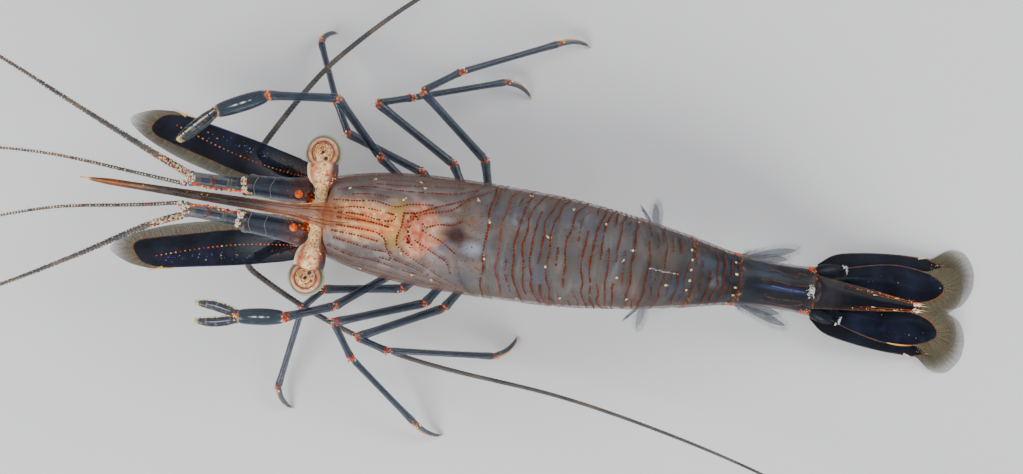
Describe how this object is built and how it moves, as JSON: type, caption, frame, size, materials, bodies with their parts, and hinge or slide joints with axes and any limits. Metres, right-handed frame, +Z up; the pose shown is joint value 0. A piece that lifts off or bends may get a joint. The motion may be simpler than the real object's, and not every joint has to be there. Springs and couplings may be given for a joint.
{
  "type": "ghost shrimp",
  "caption": "Life-size ghost shrimp standing on its walking legs: saw-edged beak, stalked eyes, slender pincers, long feelers and a fan-shaped tail.",
  "frame": {"origin": "on the floor, under the middle of the bounding box of the whole animal, feelers included", "axes": "+X from the head towards the tail, +Y towards the animal's right side, +Z up"},
  "size_m": [0.0696, 0.039, 0.0091],
  "materials": {
    "shell": "translucent grey-blue shell with lines of red-brown dots",
    "rostrum": "translucent amber with brown and gold stripes",
    "eyestalk": "cream and pink mottled with red dots",
    "eye": "wet, pale rings round a dark centre",
    "limb": "clear steel blue with orange-red and cream joints",
    "claw": "clear steel blue with pale gold edges",
    "feeler": "ringed brown, white and orange",
    "fin": "clear dark blue with an amber rim line and a pale fringe",
    "paddle": "clear grey with a fine fringe"
  },
  "bodies": {
    "root": {"antenna_feeler_left_1": "feeler", "antenna_feeler_left_2": "feeler", "antenna_feeler_left_3": "feeler", "antenna_feeler_right_1": "feeler", "antenna_feeler_right_2": "feeler", "antenna_feeler_right_3": "feeler", "antenna_scale_left": "fin", "antenna_scale_right": "fin", "antenna_stem_left": "limb", "antenna_stem_right": "limb", "antennule_inner_feeler_left": "feeler", "antennule_inner_feeler_right": "feeler", "antennule_outer_feeler_left": "feeler", "antennule_outer_feeler_right": "feeler", "antennule_stem_left": "limb", "antennule_stem_right": "limb", "carapace": "shell", "claw_left": "claw", "claw_leg_left": "limb", "claw_leg_right": "limb", "claw_moving_finger_left": "claw", "claw_moving_finger_right": "claw", "claw_right": "claw", "endopod_left": "fin", "endopod_right": "fin", "exopod_left": "fin", "exopod_right": "fin", "eye_left": "eye", "eye_right": "eye", "eyestalk_left": "eyestalk", "eyestalk_right": "eyestalk", "face": "shell", "feeding_leg_left": "limb", "feeding_leg_right": "limb", "maxilliped_left": "limb", "maxilliped_right": "limb", "paddle_1_left": "paddle", "paddle_1_right": "paddle", "paddle_2_left": "paddle", "paddle_2_right": "paddle", "paddle_3_left": "paddle", "paddle_3_right": "paddle", "paddle_4_left": "paddle", "paddle_4_right": "paddle", "paddle_5_left": "paddle", "paddle_5_right": "paddle", "rostrum": "rostrum", "tail_segment_1": "shell", "tail_segment_2": "shell", "tail_segment_3": "shell", "tail_segment_4": "shell", "tail_segment_5": "shell", "tail_segment_6": "shell", "telson": "fin", "walking_leg_1_left": "limb", "walking_leg_1_right": "limb", "walking_leg_2_left": "limb", "walking_leg_2_right": "limb", "walking_leg_3_left": "limb", "walking_leg_3_right": "limb"}
  },
  "joints": []
}
